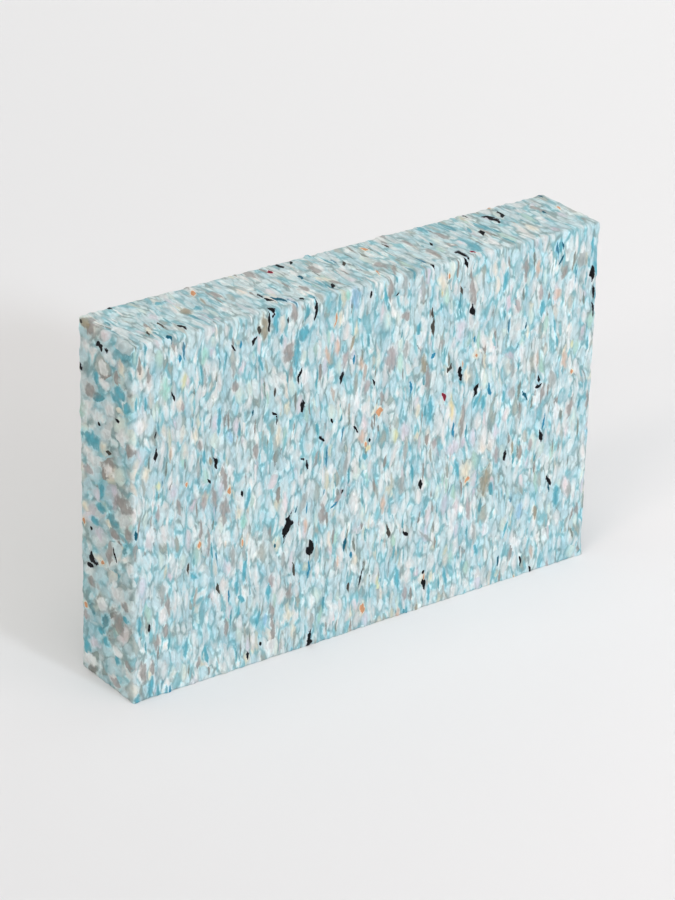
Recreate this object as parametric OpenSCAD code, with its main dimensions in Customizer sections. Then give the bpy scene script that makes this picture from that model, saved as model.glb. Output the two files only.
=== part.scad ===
// Foam block of rebonded chip foam.
// Offcuts of soft foam are coated with binder, pressed flat along X, cured, and cut to a block.
// X is the block's length, Y its thickness and Z its height.
// It stands on its long narrow face, and its origin is the middle of that face.

/* [Block] */
// Length along X
block_l = 305; // [200:1:400]
// Thickness along Y
block_t = 50; // [30:1:100]
// Height along Z
block_h = 205; // [120:1:300]
// Radius of the cut edges, which the soft foam rounds off by itself
edge_r = 2; // [1:0.5:4]
// Flat steps that make up a quarter turn of a rounded edge
edge_steps = 3; // [2:1:4]

/* [Pressed chips] */
// Thickness of a chip along X, the way that the press squeezed it
chip_t = 7; // [6:0.5:12]
// Breadth of a chip in Y and Z
chip_b = 13; // [11:0.5:20]
// Room that a chip takes up along X
pitch_x = 5.5; // [5:0.5:10]
// Room that a chip takes up in Y and Z
pitch_yz = 11.5; // [10:0.5:20]
// Corners round the rim of a chip
chip_corners = 5; // [4:1:6]
// Spread in the size, place and lean of the chips, from 0 for all alike
spread = 0.35; // [0:0.05:0.4]
// How far a firm, strongly coloured chip stands out of the pale ground round it
chip_proud = 0.3; // [0.2:0.05:0.6]
// Share of the chips that are firm and strongly coloured
strong_share = 0.19; // [0.05:0.01:0.22]
// Which handful of offcuts the block was pressed from
handful = 27; // [1:1:50]

/* [Hidden] */

GROUND = "#bfe3ea";
// Each strong colour, and how many of its chips there are in a handful
STRONG = [
    ["#eff4f4", 6], // white
    ["#a8a099", 7], // taupe
    ["#4fa5bd", 6], // teal
    ["#8cc6dc", 4], // sky blue
    ["#242628", 3], // black
    ["#e3d3a2", 2]  // cream
];
SHADES = [for (n = [0:len(STRONG) - 1]) for (copy = [1:STRONG[n][1]]) n];

LOW = [-block_l / 2, -block_t / 2, 0];
HIGH = [block_l / 2, block_t / 2, block_h];

// The three fields of chips: one over the girth and one on each end
GIRTH_FIELD = 0;
LEFT_FIELD = 1;
RIGHT_FIELD = 2;

// What each random draw for a chip decides. The corners of its rim take one draw each, from CORNER on.
PICK = 0;
SHADE = 1;
THICKNESS = 2;
BREADTH = 3;
FIRST_PLACE = 4;
SECOND_PLACE = 5;
DEPTH = 6;
LEAN_Y = 7;
LEAN_Z = 8;
TURN = 9;
CORNER = 10;

// Steps in the random seed for the next field, column, row and handful, so that draws don't repeat
SEED_STEPS = [1000000, 10000, 100];
HANDFUL_STEP = 20;

// The girth is the way over the block from the floor: up the front, over the top and down the back
girth = 2 * block_h + block_t;
columns = round(block_l / pitch_x);
rows = round(girth / pitch_yz);
// Chips of the girth keep clear of the ends, which have chips of their own
end_clear = chip_t / 2 * (1 + spread) + 2 * chip_proud;
end_columns = round(block_t / pitch_yz);
end_rows = round(block_h / pitch_yz);

// A cell is [field, column, row]. Its draws are numbers from 0 to 1 that come out the same each time.
function random(cell, draw) = rands(0, 1, 1, cell * SEED_STEPS + draw + handful * HANDFUL_STEP)[0];
function either_way(cell, draw) = spread * (2 * random(cell, draw) - 1);
function about_one(cell, draw) = 1 + either_way(cell, draw);

// Where a chip sits along its row or column, counted in cells
function in_cell(n, cell, draw) = n + about_one(cell, draw) / 2;

// A place on the girth as [y, z], some depth below the skin
function on_girth(way, depth) =
    way < block_h ? [LOW[1] + depth, way]
    : way < block_h + block_t ? [LOW[1] + way - block_h, HIGH[2] - depth]
    : [HIGH[1] - depth, girth - way];

// How far the middle of a chip lies below the skin. Half the chip is the most that the cut can leave.
function middle_depth(size, cell) = size / 4 * random(cell, DEPTH);

function girth_chips() = [
    for (column = [0:columns - 1], row = [0:rows - 1])
        let (cell = [GIRTH_FIELD, column, row])
        let (run = block_l - 2 * end_clear)
        let (x = LOW[0] + end_clear + in_cell(column, cell, FIRST_PLACE) * run / columns)
        let (way = in_cell(row, cell, SECOND_PLACE) * girth / rows)
        [cell, concat(x, on_girth(way, middle_depth(chip_b, cell)))]
];

function end_chips(field) = [
    for (column = [0:end_columns - 1], row = [0:end_rows - 1])
        let (cell = [field, column, row])
        let (sunk = middle_depth(chip_t, cell))
        let (x = field == LEFT_FIELD ? LOW[0] + sunk : HIGH[0] - sunk)
        let (y = LOW[1] + in_cell(column, cell, FIRST_PLACE) * block_t / end_columns)
        let (z = in_cell(row, cell, SECOND_PLACE) * block_h / end_rows)
        [cell, [x, y, z]]
];

// The firm chips that the cuts went through, each as its cell and its middle
FIRM_CHIPS = [
    for (chip = concat(girth_chips(), end_chips(LEFT_FIELD), end_chips(RIGHT_FIELD)))
        if (random(chip[0], PICK) < strong_share)
            chip
];

function shade(cell) = SHADES[floor(random(cell, SHADE) * len(SHADES))];

// The block with rounded edges, and with every face but the floor set back.
// It is spanned by boxes whose corners lie along the rounding.
module rounded_block(set_back) {
    low = LOW + set_back * [1, 1, 0];
    high = HIGH - set_back * [1, 1, 1];
    hull()
        for (a = [0:edge_steps], b = [0:edge_steps]) {
            turn = 90 * a / edge_steps;
            rise = 90 * b / edge_steps;
            outward = [cos(turn) * cos(rise), sin(turn) * cos(rise), sin(rise)];
            inset = edge_r * ([1, 1, 1] - outward);
            translate(low + inset)
                cube(high - low - 2 * inset);
        }
}

// One offcut, pressed to a lens that is thin along X, with an uneven rim and a blunt point on each side
module pressed_chip(cell, middle) {
    thickness = chip_t * about_one(cell, THICKNESS);
    breadth = chip_b * about_one(cell, BREADTH);
    point = thickness / 2 * [1, either_way(cell, LEAN_Y), either_way(cell, LEAN_Z)];
    rim = [
        for (n = [0:chip_corners - 1])
            let (turn = 360 * (n + random(cell, TURN)) / chip_corners)
            middle + breadth / 2 * about_one(cell, CORNER + n) * [0, cos(turn), sin(turn)]
    ];
    polyhedron(
        points = concat([middle - point, middle + point], rim),
        faces = [
            for (n = [0:chip_corners - 1])
                let (here = 2 + n)
                let (next = 2 + (n + 1) % chip_corners)
                each [[0, here, next], [1, next, here]]
        ]
    );
}

// The firm chips of one colour, all cut off level with the faces and edges of the block
module firm_chips(colour) {
    intersection() {
        for (chip = FIRM_CHIPS)
            if (shade(chip[0]) == colour)
                pressed_chip(chip[0], chip[1]);
        rounded_block(0);
    }
}

// One bonded piece: the pale ground, and the firm chips that stand just out of it
module foam_block() {
    color(GROUND)
        rounded_block(chip_proud);
    for (n = [0:len(STRONG) - 1])
        color(STRONG[n][0])
            firm_chips(n);
}

foam_block();
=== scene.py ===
"""A block of rebonded chip foam, standing on a pale studio floor."""

import math
from collections import namedtuple

import bpy
import numpy as np
from mathutils import Matrix, Vector, noise


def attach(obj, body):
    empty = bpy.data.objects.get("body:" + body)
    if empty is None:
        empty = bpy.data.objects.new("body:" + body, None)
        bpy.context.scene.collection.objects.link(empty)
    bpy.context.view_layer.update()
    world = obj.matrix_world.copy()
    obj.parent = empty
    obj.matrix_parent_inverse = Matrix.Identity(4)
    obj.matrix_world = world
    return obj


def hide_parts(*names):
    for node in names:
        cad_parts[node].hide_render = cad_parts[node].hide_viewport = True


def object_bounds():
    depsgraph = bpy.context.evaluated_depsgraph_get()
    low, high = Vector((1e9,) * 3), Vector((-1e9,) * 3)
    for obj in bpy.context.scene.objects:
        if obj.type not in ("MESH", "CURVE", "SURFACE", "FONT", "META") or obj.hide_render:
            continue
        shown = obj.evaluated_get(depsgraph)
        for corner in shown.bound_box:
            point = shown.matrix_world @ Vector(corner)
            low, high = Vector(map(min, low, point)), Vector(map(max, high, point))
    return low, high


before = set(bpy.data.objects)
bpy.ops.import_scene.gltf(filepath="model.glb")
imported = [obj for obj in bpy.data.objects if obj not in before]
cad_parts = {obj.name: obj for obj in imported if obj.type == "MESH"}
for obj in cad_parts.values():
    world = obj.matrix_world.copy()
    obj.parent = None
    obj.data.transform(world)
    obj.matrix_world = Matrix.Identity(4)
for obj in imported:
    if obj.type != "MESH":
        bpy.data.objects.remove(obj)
SOLID_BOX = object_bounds()

# Lengths below are in millimetres. X runs along the block, Y through its thickness and Z up.
MM = 0.001
BLOCK_LOW = np.array(SOLID_BOX[0]) / MM
BLOCK_HIGH = np.array(SOLID_BOX[1]) / MM
BLOCK_MIDDLE = Vector((BLOCK_LOW + BLOCK_HIGH) / 2)
X, Y, Z = range(3)
ALONG_X, ALONG_Y, ALONG_Z = np.eye(3)


# ---- Wiring of nodes -------------------------------------------------------------------------

def socket_named(sockets, identifier):
    """The socket with this identifier, which is its name unless a node has several of that name."""
    return next(s for s in sockets if s.identifier == identifier)


class Bench:
    """Adds nodes to one tree."""

    def __init__(self, tree):
        self.tree = tree

    def add(self, kind, settings, sockets):
        """Adds a node, sets it up, then gives its sockets their values or links. Returns the node."""
        made = self.tree.nodes.new(kind)
        for name, value in settings.items():
            if name == "steps":
                self.set_steps(made.color_ramp, value)
            else:
                setattr(made, name, value)
        for identifier, value in sockets.items():
            socket = socket_named(made.inputs, identifier)
            if isinstance(value, Wire):
                self.tree.links.new(value.socket, socket)
            else:
                socket.default_value = fitting(socket, value)
        return made

    def get(self, kind, output, settings, sockets):
        """Adds a node and returns the wire of one of its outputs."""
        return Wire(self, socket_named(self.add(kind, settings, sockets).outputs, output))

    def set_steps(self, ramp, steps):
        """Gives a ramp its steps, each a place and the colour from there on."""
        ramp.interpolation = "CONSTANT"
        while len(ramp.elements) < len(steps):
            ramp.elements.new(1.0)
        for element, (place, colour) in zip(ramp.elements, steps):
            element.position = place
            element.color = (*colour, 1.0)


def fitting(socket, value):
    """A number or a row of numbers in the length that the socket takes."""
    if socket.type == "VECTOR" and isinstance(value, (int, float)):
        return (value, value, value)
    if socket.type == "RGBA":
        return (*value, 1.0)
    return value


class Wire:
    """The output of a node, ready for sums. A sum with a vector in it is done on vectors."""

    def __init__(self, bench, socket):
        self.bench = bench
        self.socket = socket

    def sum(self, operation, first, second):
        terms = (first, second)
        vector = any(isinstance(t, (tuple, Vector)) for t in terms) or any(
            isinstance(t, Wire) and t.socket.type in ("VECTOR", "RGBA") for t in terms
        )
        kind, name = ("VectorMath", "Vector") if vector else ("Math", "Value")
        return self.bench.get(
            "ShaderNode" + kind, name, {"operation": operation}, {name: first, name + "_001": second}
        )

    def __add__(self, other):
        return self.sum("ADD", self, other)

    def __sub__(self, other):
        return self.sum("SUBTRACT", self, other)

    def __mul__(self, other):
        return self.sum("MULTIPLY", self, other)

    def __truediv__(self, other):
        return self.sum("DIVIDE", self, other)

    def __radd__(self, other):
        return self.sum("ADD", other, self)

    def __rsub__(self, other):
        return self.sum("SUBTRACT", other, self)

    def __rmul__(self, other):
        return self.sum("MULTIPLY", other, self)

    def __rtruediv__(self, other):
        return self.sum("DIVIDE", other, self)

    def __abs__(self):
        return self.sum("ABSOLUTE", self, 0.0)

    def fraction(self):
        return self.sum("FRACT", self, 0.0)

    def power(self, exponent):
        return self.sum("POWER", self, exponent)

    def below(self, limit):
        """1 where the value is less than the limit, else 0."""
        return self.sum("LESS_THAN", self, limit)

    def parts(self):
        """The three parts of a vector."""
        split = self.bench.add("ShaderNodeSeparateXYZ", {}, {"Vector": self})
        return [Wire(self.bench, output) for output in split.outputs]

    def ease(self, start, end, low=0.0, high=1.0):
        """Runs smoothly from low at start to high at end, and stays there beyond them."""
        return self.bench.get(
            "ShaderNodeMapRange",
            "Result",
            {"interpolation_type": "SMOOTHSTEP"},
            {"Value": self, "From Min": start, "From Max": end, "To Min": low, "To Max": high},
        )

    def between(self, low, high):
        """low where the value is 0 and high where it is 1."""
        return self * (high - low) + low


def blended(bench, below, above, share):
    """One colour laid over another."""
    return bench.get(
        "ShaderNodeMix",
        "Result_Color",
        {"data_type": "RGBA", "clamp_factor": True},
        {"Factor_Float": share, "A_Color": below, "B_Color": above},
    )


# How much red, green and blue each add to how bright a colour looks
LUMINANCE = (0.2126, 0.7152, 0.0722)


def parted(bench, colour):
    """A colour parted into how bright it looks and its tint, which is the colour at a brightness of 1."""
    level = bench.get(
        "ShaderNodeVectorMath",
        "Value",
        {"operation": "DOT_PRODUCT"},
        {"Vector": colour, "Vector_001": LUMINANCE},
    )
    return level, colour / level


def linear(hex_colour):
    """A colour written as on a screen, as the numbers that the shaders take."""
    parts = [int(hex_colour[n:n + 2], 16) / 255 for n in (1, 3, 5)]
    return tuple(p / 12.92 if p <= 0.04045 else ((p + 0.055) / 1.055) ** 2.4 for p in parts)


# ---- The pressed chips -----------------------------------------------------------------------

# Each kind of chip in a heap: its colour and how many there are of it
PALE_HEAP = [
    ("#dadfde", 24),  # white
    ("#d2dfe0", 26),  # cool white
    ("#c4dde2", 27),  # icy blue
    ("#cee0d9", 9),   # minty white
    ("#dad6d9", 4),   # rose white
    ("#dad9cf", 5),   # cream
    ("#ccd2dc", 2),   # pale lilac
    ("#b6c0ba", 3),   # sage grey
    ("#b3d6cb", 3),   # mint
]
MIXED_HEAP = [
    ("#d2e1e2", 31),
    ("#c0dbe0", 33),
    ("#b0d2d9", 18),
    ("#a5b1aa", 7),
    ("#a49f99", 3),
    ("#85bdc7", 3),
    ("#56a6b6", 1),
    ("#c9c9d0", 2),
    ("#cdd0bc", 3),
    ("#c6ae95", 1),
    ("#abd3c5", 3),
]
STREAK_HEAP = [
    ("#5aa9b8", 12),
    ("#86c1cc", 22),
    ("#9b9993", 8),
    ("#87938b", 6),
    ("#dbe2e1", 26),
    ("#cde0e3", 22),
    ("#bfb6ac", 2),
    ("#3f8aa6", 1),
]
COBBLE_HEAP = [
    ("#dae3e2", 24),
    ("#cde0e3", 29),
    ("#bddae1", 28),
    ("#afd2d9", 10),
    ("#95c4cc", 1),
    ("#a6b3ac", 4),
    ("#a8a5a0", 1),
    ("#d0ccd5", 1),
    ("#d2d4c2", 3),
]
# A layer of chips: its heap, the room that a chip has along X and across it, the least and most
# thickness and breadth as a share of that room, how many of the rooms are taken, how far a chip's
# colour runs into its neighbours', and how much of the seam's colour the rim round it has: the binder
# between the chips, partly painted shade where a chip lies over those below
ChipLayer = namedtuple("ChipLayer", "heap room broad_room thickness breadth taken softness crevice")
# The lowest first
CHIP_LAYERS = [
    ChipLayer(STREAK_HEAP, 2.6, 10.5, (0.22, 0.42), (0.38, 0.60), 0.4, 0.3, 0.0),
    ChipLayer(PALE_HEAP, 6.2, 12.0, (0.24, 0.46), (0.40, 0.62), 0.5, 0.28, 0.5),
    ChipLayer(MIXED_HEAP, 3.8, 11.5, (0.25, 0.46), (0.40, 0.70), 0.3, 0.32, 0.3),
    ChipLayer(STREAK_HEAP, 3.2, 12.5, (0.18, 0.32), (0.35, 0.55), 0.16, 0.28, 0.0),
    ChipLayer(PALE_HEAP, 5.2, 10.5, (0.26, 0.48), (0.42, 0.66), 0.5, 0.28, 0.5),
]
# Sets the layers apart, so that their rooms don't line up
LAYER_SHIFT = (17.3, 5.9, 11.7)
# How much further a chip's tint runs into its neighbours than its brightness
TINT_RUNS = 0.7
# The middle of random values from 0 to 1
MIDDLE = 0.5

# The chips are drawn out towards the back, where they also sink
CHIP_STRETCH = (1.0, 0.84, 1.0)
CHIP_SINK = (0.0, 0.0, 0.33)
# The slow bend and the quick one: over what width it changes and how far it shifts a chip, each along
# X, Y and Z, then how many times finer bends are added and how strong they are
BENDS = [
    ((16.0, 26.0, 26.0), (7.0, 6.0, 6.0), 1.0, 0.5),
    ((3.0, 6.0, 6.0), (1.8, 3.4, 3.4), 2.0, 0.6),
]


def per(width):
    """What a place is multiplied by to be counted in this width along X, Y and Z."""
    return tuple(1 / w for w in width)


def grainy(bench, output, place, width, detail, roughness):
    """Noise that changes over this width along X, Y and Z."""
    return bench.get(
        "ShaderNodeTexNoise",
        output,
        {"noise_dimensions": "3D"},
        {"Vector": place * per(width), "Scale": 1.0, "Detail": detail, "Roughness": roughness},
    )


def wavy(bench, place):
    """The place, sheared so that the chips sink to the back, and shifted so that they bend."""
    _, deep, _ = place.parts()
    place = place * CHIP_STRETCH + deep * CHIP_SINK
    bent = place
    for width, reach, detail, roughness in BENDS:
        shift = grainy(bench, "Color", place, width, detail, roughness)
        bent = bent + (shift - (MIDDLE, MIDDLE, MIDDLE)) * reach
    return bent


# A grain: its width along X, its length across X, and how many times finer grains are added
MOTTLE_GRAIN = (1.0, 2.3, 2.0)
GAP_GRAIN = (3.2, 7.0, 0.0)
SEAM_GRAIN = (7.0, 13.0, 0.0)
DRIFT_GRAIN = (14.0, 22.0, 1.0)
CURL_GRAIN = (4.0, 5.0, 0.0)
TORN_GRAINS = ((0.8, 1.6, 1.0), (2.2, 3.0, 0.0))
SHADE_GRAIN = (1.3, 4.0, 1.0)
FINER_GRAINS = 0.6


def speckle(bench, place, width, length, detail):
    """Random values from 0 to 1 that change over a grain of this width and length."""
    return grainy(bench, "Fac", place, (width, length, length), detail, FINER_GRAINS)


def picked(bench, heap, draw):
    """The colour of a chip drawn from a heap."""
    total = sum(count for _, count in heap)
    steps = []
    place = 0
    for colour, count in heap:
        steps.append((place / total, linear(colour)))
        place += count
    return bench.get("ShaderNodeValToRGB", "Color", {"steps": steps}, {"Fac": draw})


# How far a chip leans at the most
CHIP_LEAN = 0.35
# A chip's further draws are the fractions of its first ones times these
SECOND_LEAN, TAKEN, KIND, TONE = 37.0, 53.0, 71.0, 91.0


def redrawn(draw, times):
    """A new random value made from an old one."""
    return (draw * times).fraction()


def chip_layer(bench, place, number):
    """One layer of lens-shaped chips. Returns how far out of its chip each place is, from 0 in the
    middle to 1 at the rim, 1 or 0 for a room that is taken or not, and two draws for the chip."""
    layer = CHIP_LAYERS[number]
    shift = tuple(number * s for s in LAYER_SHIFT)
    there = place * per((layer.room, layer.broad_room, layer.broad_room)) + shift
    cells = bench.add(
        "ShaderNodeTexVoronoi",
        {"voronoi_dimensions": "3D", "feature": "F1"},
        {"Vector": there, "Scale": 1.0, "Randomness": 1.0},
    )
    middle = Wire(bench, cells.outputs["Position"])
    first, second, third = Wire(bench, cells.outputs["Color"]).parts()
    x, y, z = (there - middle).parts()
    leaning = x + (third - MIDDLE) * CHIP_LEAN * z + (redrawn(third, SECOND_LEAN) - MIDDLE) * CHIP_LEAN * y
    thick = first.between(*layer.thickness)
    broad = second.between(*layer.breadth)
    out = abs(leaning) / thick + (y * y + z * z) / (broad * broad)
    taken = redrawn(first, TAKEN).below(layer.taken)
    return out, taken, redrawn(second, KIND), redrawn(third, TONE)


# The room of a cobble and of a crumb, along X and across it
COBBLE_ROOM = (3.8, 8.5)
CRUMB_ROOM = (1.9, 4.4)
COBBLE_RANDOMNESS = 0.9
# Makes 1 of the way from a seam to the middle of a cobble
SEAM_TO_MIDDLE = 2.2


def cobbles(bench, place, room, broad_room):
    """Chips pressed so close that only seams are left. Returns how far from the seam each place is,
    from 0 in it to about 1 in a chip's middle, and two draws for the chip."""
    there = place * per((room, broad_room, broad_room))
    sockets = {"Vector": there, "Scale": 1.0, "Randomness": COBBLE_RANDOMNESS}
    settings = {"voronoi_dimensions": "3D", "feature": "DISTANCE_TO_EDGE"}
    inside = bench.get("ShaderNodeTexVoronoi", "Distance", settings, sockets)
    settings = {"voronoi_dimensions": "3D", "feature": "F1"}
    first, second, _ = bench.get("ShaderNodeTexVoronoi", "Color", settings, sockets).parts()
    return inside * SEAM_TO_MIDDLE, first, second


# Below, a run is where a value starts and ends, and often its levels there. A pair of tones or shares
# is for a draw of 0 and of 1. Shifts set patterns of the same kind apart.
GAP_RUN = (0.36, 0.62)
GREY_SEAM, BLUE_SEAM = "#93adae", "#84bcc6"
SEAM_SHIFT = (60.0, 0.0, 0.0)
SEAM_RUN = (0.35, 0.6)


def seam_colour(bench, bent):
    """The brightness and tint of the seams, which are greyer here and bluer there."""
    kind = speckle(bench, bent + SEAM_SHIFT, *SEAM_GRAIN).ease(*SEAM_RUN)
    return parted(bench, blended(bench, linear(GREY_SEAM), linear(BLUE_SEAM), kind))


COBBLE_RAGGED = 0.35
COBBLE_TONES = (0.92, 1.05)
# A cobble's middle is painted brighter and its edge by the seams darker: painted highlight and painted
# shade
COBBLE_HIGHLIGHT_RUN = (0.0, 0.8, 0.95, 1.03)
SEAM_WIDTH, SEAM_SHARES = (0.46, 0.08), (0.35, 1.0)
SEAM_TINT_WIDTH, SEAM_TINT_SHARES = (0.8, 0.05), (0.3, 1.0)


def cobbled_ground(bench, bent, mottle, gaps, seam):
    """The brightness and tint of the ground that the other chips lie on."""
    seam_level, seam_tint = seam
    inside, kind, tone = cobbles(bench, bent, *COBBLE_ROOM)
    chip_level, chip_tint = parted(bench, picked(bench, COBBLE_HEAP, kind))
    inside = inside + (mottle - MIDDLE) * COBBLE_RAGGED
    # Painted highlight in the cobble's middle, painted shade at its edge
    level = chip_level * tone.between(*COBBLE_TONES) * inside.ease(*COBBLE_HIGHLIGHT_RUN)
    level = level + (seam_level - level) * inside.ease(*SEAM_WIDTH) * gaps.between(*SEAM_SHARES)
    tint_share = inside.ease(*SEAM_TINT_WIDTH) * gaps.between(*SEAM_TINT_SHARES)
    return level, blended(bench, chip_tint, seam_tint, tint_share)


def covers(out, softness):
    """How much a chip covers what is below it, from 1 inside its rim to 0 outside."""
    return out.ease(1.0 + softness, 1.0 - softness)


CHIP_RAGGED = 0.8
# How far out from a chip its rim of seam colour runs: the binder between the chips, partly painted shade
# on the layers below
BINDER_AND_SHADE_RUN = (1.8, 1.0)
CHIP_TONES = (0.95, 1.04)
# A chip's middle is painted brighter and its rim darker: painted highlight and painted shade
CHIP_HIGHLIGHT_RUN = (0.2, 1.1, 1.02, 0.95)


def laid_chips(bench, bent, number, mottle, gaps, seam, below):
    """The brightness and tint with one layer of chips laid over those below, each with a rim of binder and
    painted shade round it.
    """
    layer = CHIP_LAYERS[number]
    level, tint = below
    seam_level, seam_tint = seam
    out, taken, kind, tone = chip_layer(bench, bent, number)
    out = out + (mottle - MIDDLE) * CHIP_RAGGED
    chip_level, chip_tint = parted(bench, picked(bench, layer.heap, kind))
    # A darker rim of the seam's colour round each chip: partly the binder between the chips, partly
    # painted shade cast on the layers below
    crevice = out.ease(*BINDER_AND_SHADE_RUN) * taken * gaps * layer.crevice
    level = level + (seam_level - level) * crevice
    tint = blended(bench, tint, seam_tint, crevice)
    # Painted highlight in the chip's middle, painted shade at its rim
    shown_level = chip_level * tone.between(*CHIP_TONES) * out.ease(*CHIP_HIGHLIGHT_RUN)
    level = level + (shown_level - level) * (covers(out, layer.softness) * taken)
    return level, blended(bench, tint, chip_tint, covers(out, layer.softness + TINT_RUNS) * taken)


CRUMB_SHIFT = (9.0, 0.0, 0.0)
CRUMB_TONES = (0.905, 1.085)
MOTTLE_TONES = (0.80, 1.24)
DRIFT_SHIFT = (0.0, 0.0, 80.0)
DRIFT_RUN = (0.3, 0.7)
DRIFT_TONES = (0.88, 1.005)
COOL_DRIFT = (0.945, 1.0, 1.005)
WARM_DRIFT = (1.08, 1.0, 0.957)
CONTRAST = 1.12


def crumbled(bench, bent, mottle, level, tint):
    """The brightness and tint with the crumbs in each chip and the slow drifts over the block."""
    _, crumb_tone, _ = cobbles(bench, bent + CRUMB_SHIFT, *CRUMB_ROOM)
    level = level * crumb_tone.between(*CRUMB_TONES) * mottle.between(*MOTTLE_TONES)
    drift = speckle(bench, bent + DRIFT_SHIFT, *DRIFT_GRAIN).ease(*DRIFT_RUN)
    level = level.power(CONTRAST) * drift.between(*DRIFT_TONES)
    return level, tint * blended(bench, COOL_DRIFT, WARM_DRIFT, drift)


# The top is painted paler and greyer where it faces up, a painted sheen that dulls the chips, their tint
# more than their brightness
PAINTED_SHEEN_COLOUR = "#c2cccb"
TOP_PAINTED_SHEEN = 0.08
PAINTED_SHEEN_ON_TINT = 2.4
TOP_RUN = (0.4, 0.9)


def with_painted_top_sheen(bench, level, tint):
    """The brightness and tint with a painted sheen on the top, where the skin faces up."""
    _, _, facing_up = bench.get("ShaderNodeTexCoord", "Normal", {}, {}).parts()
    sheen_share = facing_up.ease(*TOP_RUN) * TOP_PAINTED_SHEEN
    sheen_colour = linear(PAINTED_SHEEN_COLOUR)
    sheen_level = sum(part * weight for part, weight in zip(sheen_colour, LUMINANCE))
    sheen_tint = tuple(part / sheen_level for part in sheen_colour)
    level = level + (sheen_level - level) * sheen_share
    return level, blended(bench, tint, sheen_tint, sheen_share * PAINTED_SHEEN_ON_TINT)


def mosaic_colour(bench, place):
    """The colour of the pressed chips, layer over layer, on their pale blue ground."""
    bent = wavy(bench, place)
    mottle = speckle(bench, bent, *MOTTLE_GRAIN)
    gaps = speckle(bench, bent, *GAP_GRAIN).ease(*GAP_RUN)
    seam = seam_colour(bench, bent)
    shown = cobbled_ground(bench, bent, mottle, gaps, seam)
    for number in range(len(CHIP_LAYERS)):
        shown = laid_chips(bench, bent, number, mottle, gaps, seam, shown)
    shown = crumbled(bench, bent, mottle, *shown)
    shown = strong_chips_laid(bench, place, BROAD_FIELD, *shown)
    # Painted sheen on the top
    shown = with_painted_top_sheen(bench, *shown)
    level, tint = strong_chips_laid(bench, place, BOLD_FIELD, *shown)
    return tint * level


# The strong chips come in two fields. Each has its name, how far a chip's brightness and its tint run
# over the rim, how much a chip covers, and how far it is curled and torn.
StrongField = namedtuple("StrongField", "name softness tint_runs share curl torn")
BROAD_FIELD = StrongField("broad", 0.33, TINT_RUNS, 0.88, 1.6, 0.95)
BOLD_FIELD = StrongField("bold", 0.16, 0.1, 1.0, 2.6, 1.15)
SHADE_RUN = (0.3, 0.7, 0.86, 1.14)


def strong_chips_laid(bench, place, field, level, tint):
    """The brightness and tint with one field of the strong chips laid over them."""
    across, along, deep = carried(bench, field.name + "_place", "Vector").parts()
    curl = (speckle(bench, place, *CURL_GRAIN) - MIDDLE) * field.curl
    torn = speckle(bench, place, *TORN_GRAINS[0]) + speckle(bench, place, *TORN_GRAINS[1]) - 2 * MIDDLE
    out = abs(across + curl) + along * along + deep * deep + torn * field.torn
    chip_level, chip_tint = parted(bench, carried(bench, field.name + "_colour", "Color"))
    shade = speckle(bench, place, *SHADE_GRAIN).ease(*SHADE_RUN)
    level = level + (chip_level * shade - level) * (covers(out, field.softness) * field.share)
    tint_share = covers(out, field.softness + field.tint_runs) * field.share
    return level, blended(bench, tint, chip_tint, tint_share)


def carried(bench, name, output):
    """What the mesh carries under this name."""
    return bench.get("ShaderNodeAttribute", output, {"attribute_name": name}, {})


# The open cells in the foam's skin, and how deep they look
CELL_SCALE, CELL_DETAIL, CELL_ROUGHNESS = 1.4, 3.0, 0.65
CELL_STRENGTH, CELL_DEPTH = 0.5, 0.3
FOAM_ROUGHNESS = 0.85
FOAM_SPECULAR = 0.1
FOAM_SHEEN = 0.05


def foam_finish():
    """Dry matte foam: the mosaic of chips, with open cells and crumbs in its skin."""
    material = bpy.data.materials.new("chip_foam")
    material.use_nodes = True
    material.node_tree.nodes.clear()
    bench = Bench(material.node_tree)
    place = bench.get("ShaderNodeTexCoord", "Object", {}, {}) * (1 / MM)
    cells = bench.get(
        "ShaderNodeTexNoise",
        "Fac",
        {"noise_dimensions": "3D"},
        {"Vector": place, "Scale": CELL_SCALE, "Detail": CELL_DETAIL, "Roughness": CELL_ROUGHNESS},
    )
    bump = bench.get(
        "ShaderNodeBump",
        "Normal",
        {},
        {"Strength": CELL_STRENGTH, "Distance": CELL_DEPTH * MM, "Height": cells},
    )
    foam = bench.get(
        "ShaderNodeBsdfPrincipled",
        "BSDF",
        {},
        {
            "Base Color": mosaic_colour(bench, place),
            "Roughness": FOAM_ROUGHNESS,
            "Specular IOR Level": FOAM_SPECULAR,
            "Sheen Weight": FOAM_SHEEN,
            "Normal": bump,
        },
    )
    bench.add("ShaderNodeOutputMaterial", {}, {"Surface": foam})
    return material


# ---- The strong chips ------------------------------------------------------------------------

STRONG_COLOURS = {
    "black": "#0e0f11",
    "soot": "#45433d",
    "red": "#7a1f31",
    "navy": "#1c5a6c",
    "blue": "#31829f",
    "sky": "#8fb9d0",
    "teal": "#4fa2b2",
    "pale_teal": "#80bdc5",
    "taupe": "#9a9590",
    "rose": "#aaa2a0",
    "grey": "#a1a8a5",
    "olive": "#98907a",
    "orange": "#cb966f",
    "peach": "#d0b5a2",
    "cream": "#dfd8c3",
    "yellow": "#d2d4a3",
    "straw": "#dccd98",
    "mint": "#9bcfc0",
    "lilac": "#cfccd3",
    "white": "#dfe1df",
}
# These are hard-edged and lie over the others, in the bold field
BOLD = ("black", "soot", "red", "navy", "blue", "orange")
# These are small, and the rest of their room has this colour
CORE, HALO, CORE_SIZE = "orange", "cream", 0.7
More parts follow.
